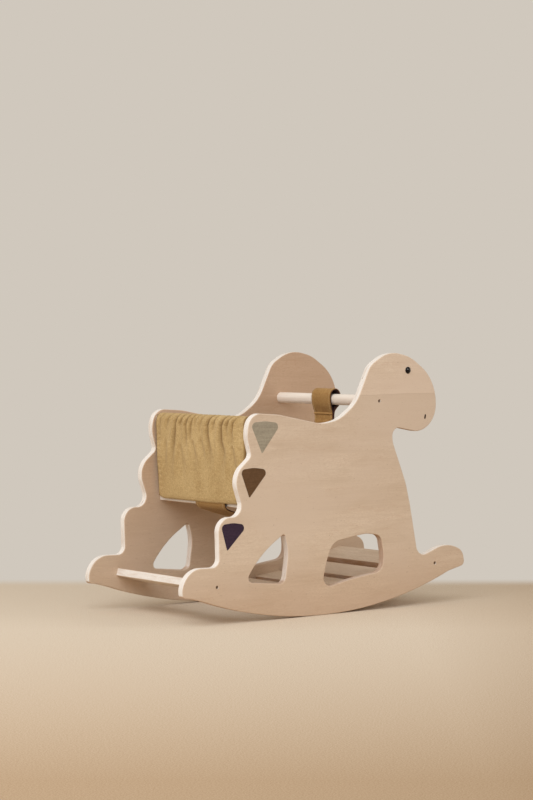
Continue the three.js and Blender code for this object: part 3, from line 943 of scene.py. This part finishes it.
def back_line():
    """The cloth back's closed middle line in X and Z: up behind the rod, over it and down in front."""
    low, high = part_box("backrest_rod")
    rod = Vector(((low.x + high.x) / 2, (low.z + high.z) / 2))
    radius = (BACK_TOP - CLOTH_THICK / 2) * MM - rod.y
    fold = BACK_FOLD * MM
    bottom = Vector((BACK_HEM_X * MM, (BACK_HEM + CLOTH_THICK / 2) * MM + fold))
    quarter = math.pi / 2
    line = arc(bottom, fold, -quarter, -quarter, 6)
    for turn, end in ((arc(rod, radius, math.pi, -math.pi, 24), rod - Vector((radius, 0))),
                      (arc(bottom, fold, 0, -quarter, 6, closing=0), bottom + Vector((fold, 0)))):
        start = line[-1]
        line += [start.lerp(end, k / BACK_STEPS) for k in range(1, BACK_STEPS)] + turn
    return line, rod


def side_roll(y, place, line_middle):
    """How far the side margins curl in towards the middle of the back, as a move in X and Z."""
    beyond = max(BACK_REACH[0] + BACK_ROLL - y, y - (BACK_REACH[1] - BACK_ROLL), 0) / BACK_ROLL
    if beyond <= 0:
        return Vector((0, 0))
    curl = 1 - math.sqrt(max(0.0, 1 - min(beyond, 1) ** 2))
    inward = line_middle - place
    below_rod = eased(BACK_TOP - place.y / MM, 22, 44)
    reach = min(inward.length * 0.82, (1.4 + 7 * below_rod) * MM)
    return inward.normalized() * reach * curl


def back_relief(y, place, out):
    """Height of the cloth over its plain section, millimetres: folds, waves, hem and side seams."""
    depth = BACK_TOP - place.y / MM
    above_hem = place.y / MM - BACK_HEM
    fade = eased(above_hem, 0, 24)
    if out.x < REAR_SIDE:
        folds = folds_at(y, depth)[0] * (0.7 if out.x > -REAR_SIDE else 1)
    else:
        folds = 0.6 * folds_at(-y * 0.9 + 6, depth)[0]
    relief = folds * (0.5 + 0.5 * eased(depth, 0, 8))
    open_cloth = fade * eased(depth, 4, 26)
    waves = 1.4 * soft_wave(y, depth * 0.5, 34, 3) + 0.5 * soft_wave(y, depth * 0.55, 15, 8)
    relief += open_cloth * waves
    relief += fade * 0.3 * soft_wave(y * 0.8, depth, 7, 4)
    relief += 1.4 * math.sin(math.pi * min(1.0, max(0.0, depth / 160))) * eased(depth, 4, 26)
    from_seam = min(y - BACK_REACH[0], BACK_REACH[1] - y) - BACK_EDGE_SEAM
    relief += 0.5 * bell(from_seam, 6) * math.sin(depth * 0.55) * open_cloth
    relief -= bell(above_hem - BACK_HEM_SEAM, 1.3) + bell(from_seam, 1.4) * 0.7 * eased(depth, 0, 12)
    return max(relief, -0.3 - 3.0 * eased(depth, 6, 24))


def make_back(cloth, sewing):
    line, rod = back_line()
    low_y, high_y = BACK_REACH
    rows, travelled = [], 0.0
    for i, (place, direction) in enumerate(zip(line, loop_directions(line))):
        if i:
            travelled += (place - line[i - 1]).length
        out = Vector((-direction.y, direction.x))
        inner = Vector((BACK_HEM_X * MM if place.y < rod.y else rod.x, min(place.y, rod.y)))
        depth = BACK_TOP - place.y / MM
        narrow = 1 - 0.02 * eased(depth, 60, 164)
        row = []
        for k in range(BACK_COLUMNS + 1):
            y = low_y + (high_y - low_y) * k / BACK_COLUMNS
            point = place + out * back_relief(y, place, out) * MM + side_roll(y, place, inner)
            drop = hem_drop(y) * (1 - eased(place.y / MM, BACK_HEM, BACK_HEM + 60)) * MM
            corner = BACK_CORNER * eased(abs(y), 118, 144) * (1 - eased(depth, 0, 9))
            across = (y * narrow - math.copysign(corner, y)) * MM
            row.append((Vector((point.x, across, point.y - drop)), (y * MM, travelled),
                        painted_fold_shade(y, place, out)))
        rows.append(row)
    piece = grid_sheet("backrest_cloth", rows, closed=True)
    dress(piece, cloth, "cloth", "backrest_fabric")
    thicken(piece, CLOTH_THICK * MM)
    threads = back_stitches([[knot[0] for knot in row] for row in rows], sewing)


def painted_fold_shade(y, place, out):
    """How much painted shade the cloth's rear layer gets in its creases, just below its hem seam and at
    its side edges, 0 to 1.
    """
    if out.x > REAR_SIDE:
        return 0.0
    painted_shade = min(1.0, folds_at(y, BACK_TOP - place.y / MM)[1])
    hem = 0.55 * bell(place.y / MM - BACK_HEM - BACK_HEM_SEAM + 1.6, 1.1)
    edge = 1 - eased(min(y - BACK_REACH[0], BACK_REACH[1] - y), 1.5, 7)
    return min(1.0, painted_shade + hem + edge)


def hem_drop(y):
    """The lower edge rises at its far corner and a little towards the other side."""
    waves = 0.8 * soft_wave(y, 0, 60, 21) + 0.4 * soft_wave(y, 0, 18, 5)
    return waves - 1.4 * eased(-y, 20, 140) - 4.5 * eased(y, 126, 146)


def stitch(mesh, start, end, normal):
    """One stitch: a small rounded bar lying on the cloth."""
    along = end - start
    side = along.cross(normal).normalized() * STITCH["thick"] * MM
    lift = normal.normalized() * STITCH["thick"] * MM
    rings = []
    for share, size in ((0.0, 0.35), (0.2, 0.9), (0.5, 1.0), (0.8, 0.9), (1.0, 0.35)):
        middle = start + along * share + lift * (0.15 + 0.7 * math.sin(math.pi * share))
        rings.append(ring_at(mesh, middle, side * size, lift * size, STITCH["sides"]))
    tube(mesh, rings)


def sew(mesh, places, normals, lift):
    """Stitches along a line of points, lifted to the cloth's surface."""
    line = [place + normal * lift for place, normal in zip(places, normals)]
    gone, wanted = 0.0, 0.0
    for start, end, normal in zip(line, line[1:], normals):
        length = (end - start).length
        along = (end - start).normalized()
        while wanted < gone + length:
            first = start.lerp(end, (wanted - gone) / length)
            stitch(mesh, first, first + along * STITCH["length"] * MM, normal)
            wanted += STITCH["pitch"] * MM
        gone += length


def surface_normals(rows):
    """The outward direction of a closed sheet at each point."""
    count, wide = len(rows), len(rows[0])
    normals = []
    for i in range(count):
        along = [rows[(i + 1) % count][k] - rows[i - 1][k] for k in range(wide)]
        across = [rows[i][min(k + 1, wide - 1)] - rows[i][max(k - 1, 0)] for k in range(wide)]
        normals.append([across[k].cross(along[k]).normalized() for k in range(wide)])
    return normals


def back_stitches(rows, sewing):
    """Rows of stitches along the hem, and down both side edges."""
    normals = surface_normals(rows)
    lift = CLOTH_THICK * MM / 2
    mesh = bmesh.new()
    seam = min(row[0].z for row in rows) + BACK_HEM_SEAM * MM
    wide, half = len(rows[0]), math.ceil(len(rows) / 2)
    step = (rows[0][-1].y - rows[0][0].y) / (wide - 1)
    inset = round(BACK_EDGE_SEAM * MM / step)
    for side in (range(half), range(half, len(rows))):
        i = min(side, key=lambda j: abs(rows[j][wide // 2].z - seam))
        sew(mesh, rows[i][inset:wide - inset], normals[i][inset:wide - inset], lift)
    for k in (inset, wide - 1 - inset):
        sew(mesh, [row[k] for row in rows], [row[k] for row in normals], lift)
    return dress(smooth_object("backrest_stitching", mesh), sewing, "cloth")


def strap_frame():
    return curve_through([Vector((x * MM, 0, z * MM)) for x, z in STRAP_LINE], STRAP_STEP * MM)


def strap_width(share):
    taper = eased(share, 0, STRAP_TAPER_END)
    below_loop = eased(share, 0.5, 0.58) - eased(share, 0.66, 0.72) + eased(share, *STRAP_TAIL)
    taken_in = STRAP_TAKEN_IN * below_loop
    width = STRAP_WIDTHS[0] + (STRAP_WIDTHS[1] - STRAP_WIDTHS[0]) * taper - taken_in
    middle = STRAP_MIDDLES[0] + (STRAP_MIDDLES[1] - STRAP_MIDDLES[0]) * taper - taken_in / 2
    return width * MM, middle * MM


def strap_relief(y, travelled, share):
    """Small creases of the strap: soft waves all along, sharper slanting ones near its end."""
    near_end = eased(share, *STRAP_TAIL)
    waves = 0.7 * soft_wave(y / MM, travelled / MM, 30, 12)
    slant = (y / MM * 0.5 + travelled / MM) / 1.2
    creases = 1.8 * near_end * abs(soft_wave(y / MM * 0.4, slant, 9, 5))
    return (waves * (1 - near_end) + creases) * MM * eased(share, 0.0, 0.05)


def strap_layer(name, shift, thickness, material, slot, inset=0):
    """One layer of the strap, shifted across its thickness. Returns it, its points and its length."""
    places, directions, length = strap_frame()
    rows = []
    for i, (place, direction) in enumerate(zip(places, directions)):
        share = i / (len(places) - 1)
        travelled = share * length
        width, middle = strap_width(share)
        out = Vector((direction.z, 0, -direction.x))
        height = place.z / MM
        loose = 1 - eased(share, *STRAP_FLAT) * (share < 0.93)
        # Painted shade at the seam's tuck, and above it up the loop.
        at_seam = bell(height - STRAP_SEAM + 3.2, 1.3)
        at_seam += 0.6 * eased(405 - height, 0, 22) * (height > STRAP_SEAM)
        row = []
        for k in range(STRAP_COLUMNS + 1):
            y = middle + (k / STRAP_COLUMNS - 0.5) * (width - 2 * inset * MM)
            relief = strap_relief(y, travelled, share) * loose
            # Painted shade in the creases from the loop on, and under the seat.
            crease = min(1.0, max(0.0, 0.3 - relief / MM * 0.9) + at_seam)
            painted_shade = crease * eased(share, 0.82, 0.9) + 0.6 * (1 - eased(share, 0.25, 0.45))
            row.append((place + out * (relief + shift) + Vector((0, y, 0)), (y, travelled), painted_shade))
        rows.append(row)
    piece = grid_sheet(name, rows)
    dress(piece, material, slot)
    thicken(piece, thickness)
    return piece, [[knot[0] for knot in row] for row in rows], length


def strap_area():
    places, _, length = strap_frame()
    count = len(places) - 1
    return sum(strap_width(i / count)[0] for i in range(count)) * length / count


def make_strap(cloth, lining, sewing):
    """The strap's cloth and lining touch each other along its middle line."""
    cover, rows, length = strap_layer("strap_cover", LINING * MM / 2, COVER * MM, cloth, "cloth", 0.5)
    inner = strap_layer("strap_lining", -COVER * MM / 2, LINING * MM, lining, "lining")[0]
    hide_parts("strap_fabric")
    middle = [row[STRAP_COLUMNS // 2] for row in rows]
    normals = [Vector((d.z, 0, -d.x)).normalized() for d in line_directions(middle)]
    mesh = bmesh.new()
    for k in (2, STRAP_COLUMNS - 2):
        sew(mesh, [row[k] for row in rows], normals, COVER * MM / 2)
    threads = dress(smooth_object("strap_stitching", mesh), sewing, "cloth")
    seam = strap_seam(rows, middle, normals)
    dress(seam, cloth, "cloth")
    strap_area()
    strap_area()


def strap_seam(rows, middle, normals):
    """The turned edge that crosses the strap where the loop is sewn to it."""
    behind = range(round(0.85 * len(rows)), len(rows))
    i = min(behind, key=lambda j: abs(middle[j].z - STRAP_SEAM * MM))
    normal, down = normals[i], (middle[i + 1] - middle[i]).normalized()
    mesh = bmesh.new()
    rings = []
    for base in rows[i]:
        crumple = 0.25 * noise.noise(Vector((base.y * 160, 3.1, 0)))
        centre = base + (normal * COVER * 0.6 + down * crumple) * MM
        rings.append(ring_at(mesh, centre, down * 2.1 * MM, normal * 1.7 * MM, 8))
    tube(mesh, rings)
    piece = smooth_object("strap_seam", mesh)
    layer = piece.data.uv_layers.new(name="cloth")
    for loop in piece.data.loops:
        point = piece.data.vertices[loop.vertex_index].co
        layer.data[loop.index].uv = (point.y, point.z)
    return piece


def make_cloth():
    cloth = woven("ochre_cloth", CLOTH_LIGHT, CLOTH_DARK, CLOTH_SHADOW, 1.0)
    lining = woven("dark_lining", LINING_LIGHT, LINING_DARK, LINING_DARK, 2.0)
    sewing = fine_grained("ochre_thread", 1500, (THREAD, CLOTH_DARK), (0.3, 0.7, 0, 0.4), 0.8,
                          (0.0001, 0.5), detail=2.0, Sheen_Weight=0.2)
    make_back(cloth, sewing)
    # The strap's cloth is the back's ochre in darker colours: painted shade.
    strap = woven("shaded_strap_cloth", STRAP_LIGHT, STRAP_DARK, CLOTH_SHADOW, 3.0)
    make_strap(strap, lining, sewing)


# ---- stage, light and camera

CAMERA_PLACE = (-2.6711, -3.3954, 0.5366)
CAMERA_HEADING = math.radians(37.88)  # from +Y towards +X
CAMERA_DIP = math.radians(1.7)
CAMERA_LENS = 98.4
WALL_BEHIND = 0.37  # where the floor changes tone, behind the object's middle
FLOOR_SIZE = 40.0
LIGHTS = {  # place, target, side in metres, power in watts, colour
    "window": ((-1.75, -0.95, 1.7), (0, 0, 0.25), 1.9, 35, (0.95, 0.98, 1.02)),
    "glint": ((0.765, -1.575, 0.895), (0.2, -0.16, 0.42), 0.14, 3.2, (1.0, 0.99, 0.98)),
}


def floor_material():
    """Pale floor whose tone changes to the wall's behind the object. Its directions are fixed."""
    graph = Graph("studio_floor")
    place = graph.coordinates()
    behind = graph.along(place, (math.sin(CAMERA_HEADING), math.cos(CAMERA_HEADING), 0))
    right = graph.along(place, (math.cos(CAMERA_HEADING), -math.sin(CAMERA_HEADING), 0))
    grit = graph.noises(place)((420, 420, 420), 3.0, 0.8)
    near = graph.tint(FLOOR_NEAR, FLOOR_GRIT, grit, 0.42, 0.6, 0, 0.62)
    # Painted shade: the floor darkens towards the camera and to the right.
    for share in (graph.span(behind, -0.35, -1.7), graph.span(right, 0.25, 0.85)):
        near = graph.mix(share, near, FLOOR_DIM, blend="MULTIPLY")
    far = graph.span(behind, WALL_BEHIND - 0.03, WALL_BEHIND + 0.12, smooth=True)
    colour = graph.mix(far, near, (0, 0, 0, 1))
    glow = graph.mix(far, (0, 0, 0, 1), WALL)
    return graph.finish(colour, 0.9, graph.bump(grit, 0.0004, 0.3), Specular_IOR_Level=0.0,
                        Emission_Strength=1.0, Emission_Color=glow)


def make_stage():
    data = bpy.data.meshes.new("floor")
    half = FLOOR_SIZE / 2
    data.from_pydata([(-half, -half, 0), (half, -half, 0), (half, half, 0), (-half, half, 0)],
                     [], [(0, 1, 2, 3)])
    data.materials.append(floor_material())
    add_object("floor", data)
    world = bpy.data.worlds.new("studio")
    world.use_nodes = True
    background = world.node_tree.nodes["Background"]
    background.inputs["Color"].default_value = WALL
    background.inputs["Strength"].default_value = 1.0
    bpy.context.scene.world = world
    bpy.context.scene.view_settings.view_transform = "Standard"


def make_lights():
    for name, (place, target, side, power, colour) in LIGHTS.items():
        data = bpy.data.lights.new(name, "AREA")
        data.shape = "RECTANGLE"
        data.size = data.size_y = side
        data.energy = power
        data.color = colour
        lamp = add_object(name, data)
        lamp.location = place
        lamp.rotation_mode = "QUATERNION"
        lamp.rotation_quaternion = (Vector(target) - Vector(place)).to_track_quat("-Z", "Y")


def make_camera():
    data = bpy.data.cameras.new("camera")
    data.lens = CAMERA_LENS
    data.sensor_width = 36
    data.clip_end = 100
    camera = add_object("camera", data)
    camera.location = CAMERA_PLACE
    camera.rotation_euler = (math.pi / 2 - CAMERA_DIP, 0, -CAMERA_HEADING)
    bpy.context.scene.camera = camera


make_camera()
make_stage()
make_lights()
make_panels()
make_boards()
make_round_parts()
make_eyes()
make_spots()
make_cloth()
